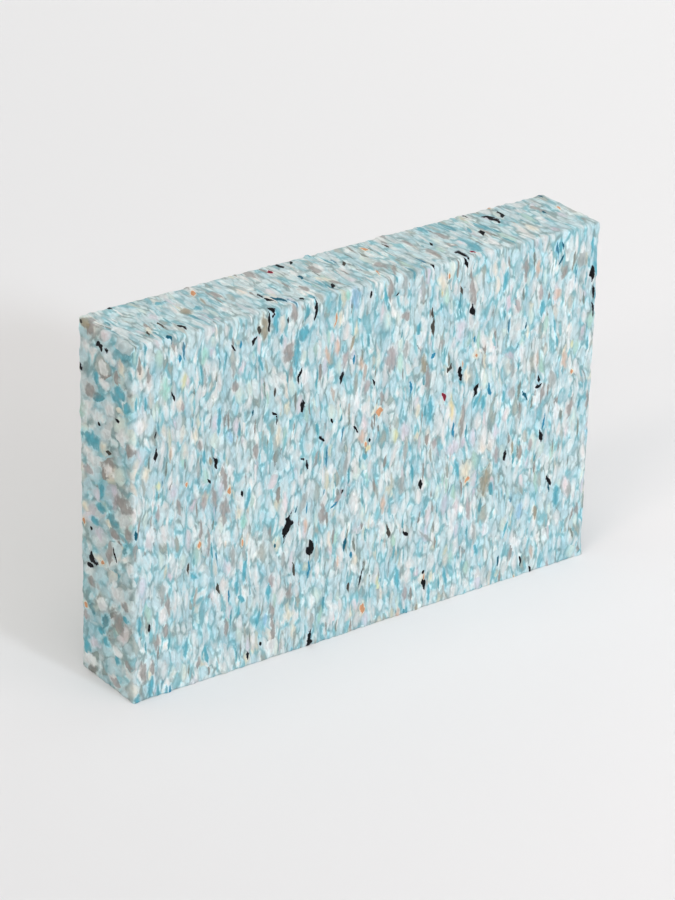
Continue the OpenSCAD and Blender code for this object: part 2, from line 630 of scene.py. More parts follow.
# Each chip of a colour: its place, its width and length, and, where its top leans to the right, how
# far, in degrees. The place is counted from the left lower corner of the front,
FRONT_CHIPS = {
    "black": [
        (84, 199, 1.6, 12), (74.5, 191, 2.2, 6, 30), (62, 190, 1.6, 5, -35), (96, 197, 1.3, 4),
        (113.5, 199, 2, 13, 5), (149, 199, 1.5, 4), (166.5, 195, 1.6, 3, 60), (212, 202, 2.2, 7, -20),
        (25, 172, 1.7, 6, -20), (104, 164, 1.5, 11, 12), (131, 156, 2, 8), (106, 145, 2.8, 8, -8),
        (14, 153, 1.1, 5, 10), (14, 142, 2.2, 9, 4), (51, 127, 2.6, 8, -10), (88, 146, 1.7, 4, -50),
        (89.5, 142, 1.3, 7, -6), (47, 118, 1.2, 4, -30), (119, 123, 2.2, 5, -45), (141, 123, 1.8, 7, -35),
        (125.5, 132, 1.2, 4, -20), (152, 147.5, 1.4, 5, -20), (109.5, 111, 2.8, 7, -15),
        (107, 114, 1.4, 4, -60), (150.5, 114, 1.6, 2.4), (97, 76.5, 4.2, 18, 20), (68, 105, 1.2, 4),
        (133, 88, 1.4, 3, 30), (186, 77.5, 1.9, 7, -5), (112.3, 61, 3.5, 10), (177, 50, 2, 5, -30),
        (10.3, 42.5, 2.2, 5, 5), (72.5, 6.5, 2.6, 5.5, -5), (81, 11, 1.2, 3), (147, 33, 1.5, 16, 12),
        (113.3, 5, 3, 11, 5), (190.8, 15, 2.6, 9, -12), (190, 22.5, 1.8, 3, 30),
        (217.8, 173, 2.6, 8, -15), (211.2, 137.5, 3.2, 10, -8), (222, 125, 3, 9, 20),
        (266, 117, 4.2, 5, 60), (266.5, 119, 2, 7), (270, 84, 3, 9, -8), (244.5, 79.5, 3, 6.5, -10),
        (277, 55, 2, 8, -22), (258.8, 9.5, 2.4, 7, -15), (266.5, 2, 1.8, 5, -20), (300.5, 176, 2.6, 10),
        (302.2, 164, 2.2, 9), (302.6, 153, 1.6, 10, -4),
    ],
    "soot": [
        (191, 170, 2.2, 11, -3), (190.3, 178, 1.4, 7), (209.5, 187, 1.6, 6, -15), (53.3, 53, 1.7, 7, -10),
        (34, 70, 1.6, 9, 8), (88.3, 158, 1.4, 5), (139, 28, 1.8, 6), (102, 50, 1.5, 9, -15),
        (203.5, 143, 2.4, 6, 20), (165, 55, 1.8, 9, -10), (78, 196, 2, 5),
    ],
    "navy": [
        (257, 112.5, 1.7, 8, -25), (255, 155, 1.5, 5, 15), (277.5, 50, 1.3, 7), (243, 14, 1.3, 7, 5),
        (2, 99, 1.5, 6), (135.5, 55, 2.2, 8, 12), (278.3, 189, 2.2, 6, 30), (279, 197, 1.5, 5, -10),
        (74, 150, 1.4, 4), (103, 86, 1.6, 4, 20), (89.7, 68, 1.2, 3),
    ],
    "red": [(200, 126.5, 3, 5, -35)],
    "blue": [
        (28.7, 192, 1.6, 5), (66.5, 191, 1.6, 5, 10), (139, 164, 1.3, 8), (177, 138, 2, 9),
        (127.5, 81, 1.6, 6, 55), (112, 48, 1.5, 12), (192, 153, 1.8, 4, 40), (110, 85, 1.3, 8),
        (271.5, 93, 1.5, 10, 8), (231.7, 123, 1.8, 9, -12), (60, 47, 1.5, 9), (140, 48, 1.4, 5),
        (207.5, 105, 1.4, 11), (219.5, 156, 1.6, 4),
    ],
    "sky": [(139, 199, 5, 13), (257, 41, 3.6, 10), (60.5, 140, 2.6, 8, -10), (84, 25, 2.2, 7)],
    "teal": [
        (88.5, 198, 2.6, 14), (101.8, 176, 4.2, 24, 3), (106, 187, 5, 10, 25), (181.7, 171, 2.6, 8, 10),
        (53.3, 150, 2.6, 15, 5), (44, 132.5, 2.2, 8), (2.5, 173, 1.4, 8), (8, 172, 1.4, 7),
        (79, 177, 1.6, 10, -20), (71.7, 101, 2.2, 12, 10), (37.5, 65, 3.4, 7, -40), (70, 58, 2.2, 14, 5),
        (65.3, 50, 2.6, 11), (68, 42.5, 2.6, 7, -40), (4, 45, 2.2, 12), (85.8, 41, 2.6, 10),
        (32.8, 23, 3.4, 12, 5), (10.8, 7, 3, 14, 5), (46, 15, 2, 12, -12), (79, 27, 2.2, 10, 10),
        (190.8, 122, 3.4, 15), (147.5, 105, 3, 4), (172, 24, 2.6, 14, -5), (194.5, 8, 1.8, 12),
        (239.7, 185, 2.8, 13, 10), (266.3, 162.5, 3.2, 10), (223, 119, 2.6, 10, 25), (227.5, 116, 2.2, 9),
        (275.8, 150, 1.6, 11, -8), (278, 141, 1.5, 9, -15), (211, 80, 3, 12, -12), (283.3, 43.5, 3.8, 15),
        (226.7, 26, 2.6, 7, -20), (205.5, 15, 2.2, 15, -8), (300, 134, 1.8, 8), (241.7, 116, 2.2, 6),
        (159, 196, 1.9, 13, -8), (247.5, 33, 1.5, 10, 15), (300, 192, 1.5, 12),
    ],
    "pale_teal": [
        (121.3, 200, 3.6, 11), (114, 115, 2.4, 9, 10), (157.5, 68, 3.4, 12, 5), (37.5, 164, 1.8, 10),
        (18, 160, 1.8, 10, 5), (145, 20, 2, 9), (6, 38, 2, 10), (179.5, 162, 2, 14, -10),
        (260.3, 76, 2, 8), (11, 38, 2.2, 9), (234, 150, 2, 10, -10), (95, 128, 2, 10, 8),
    ],
    "taupe": [
        (96.7, 178.5, 6, 12, 10), (100, 200, 3.4, 11), (63.3, 168, 3.4, 8), (9.7, 187, 2.2, 8),
        (76.8, 127, 3.4, 9), (41, 139.5, 2.6, 7), (56.7, 98, 5.4, 18, 5), (56.7, 117, 3.8, 16, -5),
        (50.8, 107, 3, 15, -8), (28.3, 108, 3, 11, -15), (47, 82, 2.2, 17), (42, 90, 1.8, 14),
        (20, 37.5, 3.2, 9), (14.7, 32, 2.6, 10, 5), (21.7, 53, 2.6, 15, -5), (6, 17, 4, 13, -5),
        (12, 18, 2.6, 9), (99.5, 37.5, 4.2, 10), (88, 29, 3.2, 12, -5), (58.7, 28, 3, 11),
        (89, 17, 3, 14), (41, 12, 3, 7, 10), (162, 199, 3.6, 14), (172.8, 181, 4.4, 6, 60),
        (188.5, 141, 4.2, 14, -6), (120.3, 78, 3.6, 13), (158, 137, 2.6, 10), (217.5, 184, 4.2, 18, -8),
        (253.3, 189, 3.4, 16), (213.5, 110, 2.4, 27, 4), (269, 110, 3.2, 13, 12),
        (290, 97.5, 3.4, 15, 15), (302.5, 98, 2.6, 13), (299, 31, 3, 9), (281, 181, 3, 9, 15),
        (251.7, 17, 2.6, 12, 5),
    ],
    "rose": [
        (163.3, 159, 6.2, 16, -4), (147.5, 146, 4, 8), (133.3, 166, 3.2, 11, 10), (194.7, 100, 3.6, 6),
        (130.5, 85, 3.2, 10, 25), (248.8, 169, 4.2, 10, -20), (238.7, 81, 3.2, 10), (262.5, 81, 3, 8, 10),
        (220, 52, 3.2, 12, -8), (30.5, 165, 2.4, 6), (87.5, 47.5, 3.6, 8), (44, 107, 3, 12, 8),
        (177.5, 13, 3.2, 10), (265, 172.5, 2.6, 10), (15.5, 108, 2.2, 9),
    ],
    "grey": [
        (171, 199, 4.2, 13), (183.3, 194, 4, 15, -8), (173.3, 161, 3.2, 11, 10), (62, 178, 2.2, 13),
        (44, 177.5, 2.6, 12), (40.5, 126, 3.6, 10), (18, 60, 3.2, 14), (62.5, 68, 3.2, 14),
        (70, 68, 2.2, 10, -5), (107.5, 88, 3.2, 14, 18), (173.3, 81, 4.2, 12), (135, 103, 2.4, 15, 5),
        (175, 102, 2, 16), (114, 15, 3.2, 14), (130, 44, 2.6, 9), (159, 18, 2.2, 14),
        (247.2, 131.5, 3.2, 11), (275.8, 118, 4.2, 11), (254, 103, 3.2, 11, 5), (224.5, 37, 3.2, 14),
        (292, 45, 3.6, 12), (293, 186, 7, 11, 20), (95, 57.5, 3, 9), (247.8, 116.5, 3.6, 8),
        (191.3, 44, 2.2, 14, -45),
    ],
    "olive": [
        (231.2, 67.5, 7, 20, 8), (186, 149, 3.4, 13, -5), (81, 196.5, 5, 15), (137.8, 174, 2, 9, 15),
        (268.3, 37.5, 2.6, 9), (249.5, 82.5, 1.8, 9), (47.8, 129, 2.2, 5),
    ],
    "orange": [
        (156.3, 129, 4, 7, 15), (60, 109, 2.8, 7), (41.3, 83, 2.6, 7), (68.3, 76, 1.8, 6),
        (126.7, 190, 1.8, 10, 10), (147.5, 112, 3, 5), (148.7, 12.5, 3.4, 10), (217.8, 71.5, 5.4, 6),
        (221.7, 146, 2, 3), (33.3, 120, 2, 4), (200.8, 197.5, 2, 5), (190.5, 20, 1.8, 6),
        (290, 119, 2.4, 4), (212, 143, 1.4, 6),
    ],
    "peach": [
        (128, 174, 2.6, 9), (121.7, 171, 2.4, 10, -15), (144, 160, 2.6, 8, -10), (160.8, 72.5, 3, 11),
        (109.5, 74, 2.4, 9), (145.8, 117, 4, 9, 10), (284, 127.5, 3.6, 12), (262, 187, 3, 10),
        (276.7, 169, 4, 7, 40), (131, 46.5, 2.2, 7),
    ],
    "cream": [
        (91, 133, 3.6, 12), (38.7, 146, 2.8, 9), (66, 94, 3, 9), (129.5, 190, 2.6, 10, 10),
        (196.3, 193, 5.2, 13, -8), (153.5, 131, 2.6, 8, 30), (182.8, 123, 2.8, 9), (189.5, 18, 3, 8),
        (215, 136, 4.2, 10), (217.5, 77.5, 8, 12), (221.7, 146.3, 3.8, 6), (256.7, 151.5, 2.4, 8),
        (143, 44, 3, 6), (102, 13, 3.4, 12), (8.3, 132.5, 4, 9), (99, 23, 4, 8),
    ],
    "yellow": [
        (31.3, 179, 3, 10, 5), (15.5, 123.5, 3, 5), (289, 136, 1.8, 5), (158.8, 24, 1.8, 11),
        (168, 112, 3, 8),
    ],
    "straw": [(205.8, 119, 3, 15, -3), (149.5, 109.5, 3, 4), (196.3, 190, 2.4, 8, -8)],
    "mint": [(20, 177.5, 5, 14), (43.7, 190, 4, 10), (69, 88, 3, 9), (134, 202, 3, 6)],
    "lilac": [
        (173.7, 113, 4.6, 11), (210, 163, 5.6, 13), (207.5, 94, 7, 9, 20), (25, 117.5, 4, 9),
        (64, 145, 3.2, 10), (237, 96, 4, 10),
    ],
    "white": [
        (160, 58.5, 5, 13), (126, 103, 5, 9), (141.7, 140, 4.6, 16, 5), (183.3, 165, 5, 11),
        (107.5, 162.5, 5, 10, 10), (265.8, 108, 4.6, 12, 10), (286.7, 172.5, 6, 11), (209, 49, 7, 15),
        (234, 143, 6, 13), (254, 22, 7, 11), (88.3, 8.5, 7, 8, 30), (18.3, 45, 4.4, 7),
        (51.7, 46.5, 4.2, 14, -8), (60, 121, 4, 8), (11.7, 96.5, 5, 11), (4.7, 160, 5, 10),
        (252.5, 140, 5, 12), (129, 17.5, 5, 9), (233, 38, 5, 10), (280, 97, 4.4, 12),
    ],
}
# from the left front corner of the top,
TOP_CHIPS = {
    "black": [
        (257.2, 35.5, 5.8, 13, -4), (265, 38, 3, 10, 20), (240.8, 23.5, 2.6, 8, 25),
        (213.3, 6, 3, 12, -10), (207.8, 25.5, 1.8, 6, 10), (190.6, 2, 1.6, 4, 10),
        (122.8, 45.5, 2.6, 7, -10), (130, 46, 1.6, 5, 30), (91, 18.5, 2.4, 6), (92.2, 12, 1.6, 8, -15),
        (86.4, 2, 3, 6, -10), (35.6, 7.5, 2.2, 8), (131, 9, 1.6, 7, 25), (107, 4, 3, 3),
        (247, 46, 1.4, 6),
    ],
    "soot": [(16.7, 10.5, 1.4, 7, 20), (185.6, 37, 1.8, 8), (153, 30, 1.5, 7, 25), (28, 16, 1.8, 8, 10)],
    "red": [(219.8, 5, 2.6, 4), (113.9, 41.5, 2.2, 4)],
    "navy": [(96.9, 9.5, 2.8, 11, -20), (287.8, 28, 1.6, 5), (23.7, 1.5, 2, 4), (123, 27, 2, 6, 30)],
    "teal": [
        (225, 12, 6, 19, 4), (216, 44, 3.4, 12), (42, 39, 4.4, 6), (55.8, 23, 4, 6), (245, 32, 1.7, 15),
        (237, 30, 2.2, 8, 20), (126.7, 14.5, 1.8, 12), (121.7, 19, 1.8, 8), (113.3, 3, 2.2, 8),
    ],
    "pale_teal": [
        (15.5, 45.5, 5, 7), (24.4, 6.5, 6, 9), (192, 33, 5, 7), (179.4, 23, 3, 8, 10), (256.7, 26, 3, 5),
    ],
    "taupe": [
        (102.8, 44, 6, 13), (135.3, 31.5, 4.6, 10), (115.6, 14, 4.6, 9), (134, 13, 2.6, 12, -18),
        (219.4, 32, 4, 11), (168, 17, 5, 11), (198, 33, 2.4, 11), (201.7, 17, 3.6, 10),
        (1.5, 40, 3.6, 9, 15), (73.3, 32, 3, 10), (170, 8, 2.2, 15, 35), (287, 35, 3.6, 8),
    ],
    "olive": [(48.3, 23, 5, 8, 15), (62.8, 29.5, 1.8, 8, 15)],
    "orange": [
        (64, 40, 2.6, 10, 20), (173.7, 39.5, 3, 8), (298.3, 28.5, 2.2, 7, 20), (160.6, 10, 1.6, 9, 15),
    ],
    "cream": [(132, 18, 4, 13, -25), (268, 14, 4, 13), (19, 13, 3, 10, 15)],
    "lilac": [(101.7, 6, 3, 6), (289, 39.5, 3, 5, 40), (143.3, 9.5, 3, 6), (30, 26, 4, 10, 10)],
    "white": [
        (66, 14, 6, 9), (238, 10, 4, 11, 10), (148, 24, 4, 12, 20), (280, 20, 4, 10, 10),
        (6, 24, 4, 11, 10),
    ],
}
# and from the front lower corner of the left end
LEFT_CHIPS = {
    "black": [
        (28.6, 195, 8, 5), (49.2, 177, 4.6, 6.5), (38.3, 70, 9, 7), (40.7, 64.5, 5, 3),
        (17, 81, 1.8, 9, 20), (31.4, 151, 4.4, 2.4), (13.6, 159.5, 2.6, 2.4), (40, 87, 2.6, 2.6),
    ],
    "soot": [(46.5, 202.5, 3, 2.6), (21.4, 138, 3.4, 3)],
    "olive": [(42.5, 203, 9, 6)],
    "teal": [
        (12, 174, 12, 12), (5, 170, 6, 8), (33, 176, 5, 7), (39.3, 139, 15, 10), (29, 112, 5, 11),
        (30, 103, 7, 6), (35.7, 93, 8, 5), (30.7, 30, 4.4, 5), (25.7, 25.5, 6, 6), (15, 19, 4.4, 6),
        (45, 14, 5, 9), (7, 47, 5, 4),
    ],
    "taupe": [
        (39.3, 166.5, 12, 8), (13.6, 183.5, 7, 7), (37, 201.5, 6, 7), (2.9, 146.5, 6, 8),
        (9.3, 113.5, 14, 11), (17, 93, 10, 6), (4.3, 98, 5, 9), (22, 80, 5, 15, -10), (39.3, 55.5, 9, 6),
        (7, 55, 7, 6), (12.9, 41, 11, 14), (4.3, 20.5, 7, 6),
    ],
    "rose": [(16.4, 5, 9, 5), (42, 120.5, 7, 6), (46, 33, 5, 6)],
    "orange": [(46.4, 88.5, 4, 6), (46.4, 39, 7, 5), (29, 71.5, 4, 4)],
    "cream": [
        (9.3, 190.5, 5, 10, 25), (26.4, 138.5, 10, 7), (45, 98, 6, 6), (32, 71.5, 8, 6), (12, 166, 8, 4),
        (22, 97, 6, 5),
    ],
    "white": [
        (19.3, 192, 10, 8), (27, 184, 9, 9), (41.4, 191, 12, 7), (25.7, 175.5, 9, 6), (21.4, 163, 9, 8),
        (40.7, 154.5, 12, 10), (8.6, 152, 8, 11), (37, 128.5, 9, 8), (22.9, 128, 9, 9), (2.5, 78, 6, 9),
        (17.9, 60, 10, 12), (42, 7.5, 13, 8), (15.7, 24, 9, 7), (30, 46, 8, 9),
    ],
    "lilac": [(33, 109, 6, 8), (31, 87, 8, 8), (38, 20, 8, 7)],
}
# The other three sides have random ones. For each colour: how many a square decimetre, and the least
# and most width and length
STRONG_HEAP = {
    "black": (7, (1.4, 3.2), (4, 11)),
    "soot": (2, (1.4, 2), (5, 10)),
    "navy": (1.6, (1.4, 2), (4, 9)),
    "blue": (2, (1.3, 2), (5, 11)),
    "teal": (6, (1.6, 3.6), (7, 15)),
    "pale_teal": (2.5, (2, 3.6), (8, 13)),
    "taupe": (6, (2.2, 4.6), (8, 16)),
    "rose": (2.5, (2.4, 4.6), (8, 14)),
    "grey": (4, (2.4, 4.2), (9, 15)),
    "olive": (1, (2, 5), (8, 16)),
    "orange": (2, (1.8, 3.6), (4, 10)),
    "peach": (1.4, (2.4, 4), (7, 11)),
    "cream": (2.5, (2.6, 4.6), (7, 13)),
    "yellow": (0.6, (1.8, 3), (5, 10)),
    "mint": (0.6, (3, 5), (8, 13)),
    "lilac": (1, (3.5, 6), (9, 12)),
    "white": (3, (4.4, 7), (8, 14)),
}
STRONG_SEED = 5
# The area that the heap is counted over
SQUARE_DECIMETRE = 100 * 100
# How much the random chips lean to either side, in degrees
LEAN_SPREAD = 12
# How much broader a chip is on an end, where its broad side shows
END_STRETCH = 2.0
CHIP_DEPTH = 5.0
# How far a strong chip stands out of the skin, and how far from its middle that ends
STRONG_PROUD = 0.35
STRONG_RIM = 1.2


class StrongChip:
    """A chip of a strong colour: its middle, and its three directions, each as long as half the chip."""

    def __init__(self, colour, middle, directions):
        self.colour = colour
        self.middle = middle
        self.to_chip = np.linalg.inv(directions.T)

    def coordinates(self, points):
        """Where points lie in the chip, from 0 in its middle to about 1 at its rim."""
        return (points - self.middle) @ self.to_chip.T


def placed_chips(heaps, corner, right, up, out):
    """The chips of one side, counted from a corner of it."""
    placed = []
    for colour, chips in heaps.items():
        for sideways, upwards, width, length, *lean in chips:
            turn = math.radians(*lean) if lean else 0.0
            along = math.cos(turn) * up + math.sin(turn) * right
            across = math.cos(turn) * right - math.sin(turn) * up
            middle = corner + sideways * right + upwards * up
            directions = np.array([across * width / 2, along * length / 2, out * CHIP_DEPTH])
            if colour == CORE:
                placed.append(StrongChip(HALO, middle, directions))
                directions = directions * CORE_SIZE
            placed.append(StrongChip(colour, middle, directions))
    return placed


def random_chips(draw, breadth, height, stretch):
    """Chips strewn over a side of this size, broader by this stretch and shorter."""
    heaps = {}
    for colour, (density, widths, lengths) in STRONG_HEAP.items():
        heaps[colour] = []
        for _ in range(round(density * breadth * height / SQUARE_DECIMETRE)):
            place = draw.uniform(0, breadth), draw.uniform(0, height)
            width = draw.uniform(*widths) * stretch
            length = draw.uniform(*lengths) / math.sqrt(stretch)
            heaps[colour].append((*place, width, length, draw.normal(0, LEAN_SPREAD)))
    return heaps


def strong_chips():
    """The strong chips of all six sides."""
    draw = np.random.default_rng(STRONG_SEED)
    low, high = BLOCK_LOW, BLOCK_HIGH
    length, thickness, height = high - low
    top_corner = np.array([low[X], low[Y], high[Z]])
    back_corner = np.array([high[X], high[Y], low[Z]])
    right_corner = np.array([high[X], low[Y], low[Z]])
    back = random_chips(draw, length, height, 1.0)
    right = random_chips(draw, thickness, height, END_STRETCH)
    bottom = random_chips(draw, length, thickness, 1.0)
    return (
        placed_chips(FRONT_CHIPS, low, ALONG_X, ALONG_Z, -ALONG_Y)
        + placed_chips(TOP_CHIPS, top_corner, ALONG_X, ALONG_Y, ALONG_Z)
        + placed_chips(LEFT_CHIPS, low, ALONG_Y, ALONG_Z, -ALONG_X)
        + placed_chips(back, back_corner, -ALONG_X, ALONG_Z, ALONG_Y)
        + placed_chips(right, right_corner, ALONG_Y, ALONG_Z, ALONG_X)
        + placed_chips(bottom, low, ALONG_X, ALONG_Y, -ALONG_Z)
    )


def outness(coordinates):
    """How far out of its chip a place is, from 0 in the middle to 1 at the rim."""
    across, along, deep = np.moveaxis(coordinates, -1, 0)
    return np.abs(across) + along**2 + deep**2


# Where no chip is near, the mesh says that the place is this far out of one
FAR_OUT = 9.0
# A face knows of a chip up to this far out, so that the chip's rim is whole
NEAR_OUT = 6.0


def carry_field(mesh, points, faces, field, chips):
    """Writes into the mesh where each face's corners lie in its nearest chip, and that chip's colour."""
    corners = points[faces]
    middles = corners.mean(axis=1)
    nearest = np.full(len(faces), NEAR_OUT)
    places = np.full(corners.shape, FAR_OUT)
    colours = np.ones((len(faces), 4))
    for chip in chips:
        out = outness(chip.coordinates(middles))
        closer = out < nearest
        nearest[closer] = out[closer]
        places[closer] = chip.coordinates(corners[closer])
        colours[closer, :3] = linear(STRONG_COLOURS[chip.colour])
    carried_places = mesh.attributes.new(field.name + "_place", "FLOAT_VECTOR", "CORNER")
    carried_places.data.foreach_set("vector", places.ravel())
    carried_colours = mesh.attributes.new(field.name + "_colour", "FLOAT_COLOR", "FACE")
    carried_colours.data.foreach_set("color", colours.ravel())


# ---- The block -------------------------------------------------------------------------------

# How far apart the mesh's points are along X, Y and Z, and the extra ones that round an edge
SPACING = (0.98, 1.9, 1.95)
EDGE_POINTS = (0.0, 0.5, 1.1, 1.9)
# The radius of the edges, how much it varies, and over what length
EDGE_RADIUS = 2.1
EDGE_VARIES = 1.1
EDGE_WAVE = 14.0
# The edges on the floor are pressed to this share of the radius, which is whole again at this height
PRESSED_RADIUS = 0.4
PRESSED_HEIGHT = 8.0
# How deep the edges are picked, and how wide the nicks are
NICK_DEPTH = 3.0
NICK_WIDTH = 4.0


def marks(low, high, spacing):
    """Places along one side of the block, closer together at its two ends."""
    inner_low, inner_high = low + EDGE_POINTS[-1], high - EDGE_POINTS[-1]
    count = round((inner_high - inner_low) / spacing)
    inside = np.linspace(inner_low, inner_high, count + 1)[1:-1]
    start = [low + e for e in EDGE_POINTS]
    end = [high - e for e in reversed(EDGE_POINTS)]
    return np.concatenate([start, inside, end])


def block_skin():
    """The points and faces of a closed box skin, and the side that each face is on."""
    sides = [marks(low, high, s) for low, high, s in zip(BLOCK_LOW, BLOCK_HIGH, SPACING)]
    counts = [len(s) for s in sides]
    index = np.full(counts, -1)
    inside = np.zeros(counts, bool)
    inside[1:-1, 1:-1, 1:-1] = True
    index[~inside] = np.arange(np.count_nonzero(~inside))
    lattice = np.stack(np.meshgrid(*sides, indexing="ij"), axis=-1)
    points = lattice[~inside]
    faces = []
    on_side = []
    for axis in (X, Y, Z):
        for end, turned in ((0, True), (-1, False)):
            sheet = np.take(index, end, axis=axis)
            if axis == Y:
                turned = not turned
            corners = [sheet[:-1, :-1], sheet[1:, :-1], sheet[1:, 1:], sheet[:-1, 1:]]
            if turned:
                corners.reverse()
            sheet_faces = np.stack([c.ravel() for c in corners], axis=-1)
            on_side.append(np.full(len(sheet_faces), len(faces)))
            faces.append(sheet_faces)
    return points, np.concatenate(faces), np.concatenate(on_side)


# The map that the colours are baked on, in shares of its width and height. For each side: the axes
# that run along it and up it, and where it starts and ends. The chips are thin along X, so X gets
# the most room.
MAP_SIDES = (
    (Z, Y, (0.0, 0.912), (0.5, 1.0)),
    (Z, Y, (0.5, 0.912), (1.0, 1.0)),
    (X, Z, (0.0, 0.0), (1.0, 0.367)),
    (X, Z, (0.0, 0.367), (1.0, 0.734)),
    (X, Y, (0.0, 0.823), (1.0, 0.912)),
    (X, Y, (0.0, 0.734), (1.0, 0.823)),
)
# What stays free round each side
MAP_GAP = 0.0015


def lay_out_map(mesh, points, faces, on_side):
    """Gives the mesh the map that its colours are baked on."""
    share = (points - BLOCK_LOW) / (BLOCK_HIGH - BLOCK_LOW)
    places = np.empty((*faces.shape, 2))
    for side, (along, up, start, end) in enumerate(MAP_SIDES):
        own = on_side == side
        room = np.subtract(end, start) - 2 * MAP_GAP
        places[own] = np.add(start, MAP_GAP) + share[faces[own]][..., [along, up]] * room
    mesh.uv_layers.new(name="OFBake").data.foreach_set("uv", places.ravel())


def noise_at(points, width):
    """Smooth random values from about -1 to 1 that change over this width."""
    return np.array([noise.noise(Vector(p)) for p in points / width])[:, None]


def rounded(points):
    """The points of a box skin, drawn in over uneven rounded edges. Returns them and the ways out."""
    radius = EDGE_RADIUS + EDGE_VARIES * noise_at(points, EDGE_WAVE)
    height = (points[:, Z:] - BLOCK_LOW[Z]) / PRESSED_HEIGHT
    radius *= PRESSED_RADIUS + (1 - PRESSED_RADIUS) * np.clip(height, 0, 1)
    inner = np.clip(points, BLOCK_LOW + radius, BLOCK_HIGH - radius)
    outward = points - inner
    outward /= np.linalg.norm(outward, axis=1)[:, None]
    return inner + radius * outward, outward


def nicks(points, outward):
    """How far the edges are picked in, where crumbs came out when the block was cut."""
    edge = 1 - np.abs(outward).max(axis=1)[:, None]
    return NICK_DEPTH * edge * noise_at(points, NICK_WIDTH)


def standing_out(points, chips):
    """How far the strong chips stand out at each point."""
    height = np.zeros((len(points), 1))
    for chip in chips:
        dome = np.clip(STRONG_RIM - outness(chip.coordinates(points)), 0, 1)[:, None]
        height = np.maximum(height, STRONG_PROUD * np.sqrt(dome))
    return height


# How far a pressed chip stands out or lies back, how its middle is domed over that, and where its
# height runs into what is below
CHIP_HEIGHTS = (-0.35, 0.25)
DOME_RUN = (0.0, 1.2, 0.3, 0.0)
HEIGHT_RUN = (1.3, 0.8)


def chip_relief(mesh):
    """How far the pressed chips stand out at each point of the mesh, by the pattern of their colours."""
    tree = bpy.data.node_groups.new("chip_relief", "GeometryNodeTree")
    tree.interface.new_socket("Geometry", in_out="INPUT", socket_type="NodeSocketGeometry")
    tree.interface.new_socket("Geometry", in_out="OUTPUT", socket_type="NodeSocketGeometry")
    bench = Bench(tree)
    start = Wire(bench, bench.add("NodeGroupInput", {}, {}).outputs[0])
    place = bench.get("GeometryNodeInputPosition", "Position", {}, {}) * (1 / MM)
    bent = wavy(bench, place)
    height = 0.0
    for number in range(len(CHIP_LAYERS)):
        out, taken, _, tone = chip_layer(bench, bent, number)
        rise = tone.between(*CHIP_HEIGHTS) + out.ease(*DOME_RUN)
        height = height + (rise - height) * (out.ease(*HEIGHT_RUN) * taken)
    kept = bench.get(
        "GeometryNodeStoreNamedAttribute",
        "Geometry",
        {"data_type": "FLOAT", "domain": "POINT"},
        {"Geometry": start, "Name": "relief", "Value": height},
    )
    finish = bench.add("NodeGroupOutput", {}, {})
    tree.links.new(kept.socket, finish.inputs[0])
    sample = bpy.data.objects.new("relief_sample", mesh)
    bpy.context.scene.collection.objects.link(sample)
    sample.modifiers.new("relief", "NODES").node_group = tree
    shown = sample.evaluated_get(bpy.context.evaluated_depsgraph_get())
    relief = np.empty(len(mesh.vertices))
    shown.data.attributes["relief"].data.foreach_get("value", relief)
    bpy.data.objects.remove(sample)
    bpy.data.node_groups.remove(tree)
    return relief[:, None]


def foam_block():
    """The block itself."""
    flat, faces, on_side = block_skin()
    points, outward = rounded(flat)
    mesh = bpy.data.meshes.new("chip_foam_block")
    mesh.from_pydata((points * MM).tolist(), [], faces.tolist())
    chips = strong_chips()
    relief = chip_relief(mesh) + nicks(points, outward) + standing_out(points, chips)
    raised = points + outward * relief
    raised[:, Z] = np.maximum(raised[:, Z], BLOCK_LOW[Z])
    mesh.vertices.foreach_set("co", (raised * MM).ravel())
    carry_field(mesh, points, faces, BROAD_FIELD, [c for c in chips if c.colour not in BOLD])
    carry_field(mesh, points, faces, BOLD_FIELD, [c for c in chips if c.colour in BOLD])
    lay_out_map(mesh, flat, faces, on_side)
    mesh.shade_smooth()
    mesh.update()
    block = bpy.data.objects.new("chip_foam_block", mesh)
    bpy.context.scene.collection.objects.link(block)
    mesh.materials.append(foam_finish())
    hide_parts("foam_block")
    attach(block, "root")


# ---- The studio ------------------------------------------------------------------------------

FLOOR_RADIUS = 12000
FLOOR_SIDES = 96
PAPER = "#e7e8e8"
# A way across the floor, to the right and a little forwards, as X and Y. The paper is painted paler
# by these shares a metre that way and a metre square to it, towards the back, between two limits: a
# painted pool of light, brighter to the right and to the back.
PAPER_ACROSS = (0.803, -0.596)
PAINTED_LIGHT_ACROSS = 0.09
PAINTED_LIGHT_BACK = 0.05
PAINTED_LIGHT_LIMITS = (0.85, 1.25)


def studio_floor():
    """A wide pale floor that catches the block's shadow, with a painted pool of light across it."""
    turns = [2 * math.pi * n / FLOOR_SIDES for n in range(FLOOR_SIDES)]
    radius = FLOOR_RADIUS * MM
    rim = [(radius * math.cos(t), radius * math.sin(t), 0.0) for t in turns]
    mesh = bpy.data.meshes.new("studio_floor")
    mesh.from_pydata(rim, [], [list(range(FLOOR_SIDES))])
    floor = bpy.data.objects.new("studio_floor", mesh)
    bpy.context.scene.collection.objects.link(floor)
    material = bpy.data.materials.new("studio_paper")
    material.use_nodes = True
    material.node_tree.nodes.clear()
    bench = Bench(material.node_tree)
    right, back, _ = bench.get("ShaderNodeTexCoord", "Object", {}, {}).parts()
    across = right * PAPER_ACROSS[X] + back * PAPER_ACROSS[Y]
    away = back * PAPER_ACROSS[X] - right * PAPER_ACROSS[Y]
    # Painted light: the paper is painted paler to the right and to the back
    tone = (1 + PAINTED_LIGHT_ACROSS * across + PAINTED_LIGHT_BACK * away).ease(*PAINTED_LIGHT_LIMITS, *PAINTED_LIGHT_LIMITS)
    colour = tone * linear(PAPER)
    paper = bench.get("ShaderNodeBsdfDiffuse", "BSDF", {}, {"Color": colour, "Roughness": 0.0})
    bench.add("ShaderNodeOutputMaterial", {}, {"Surface": paper})
    mesh.materials.append(material)


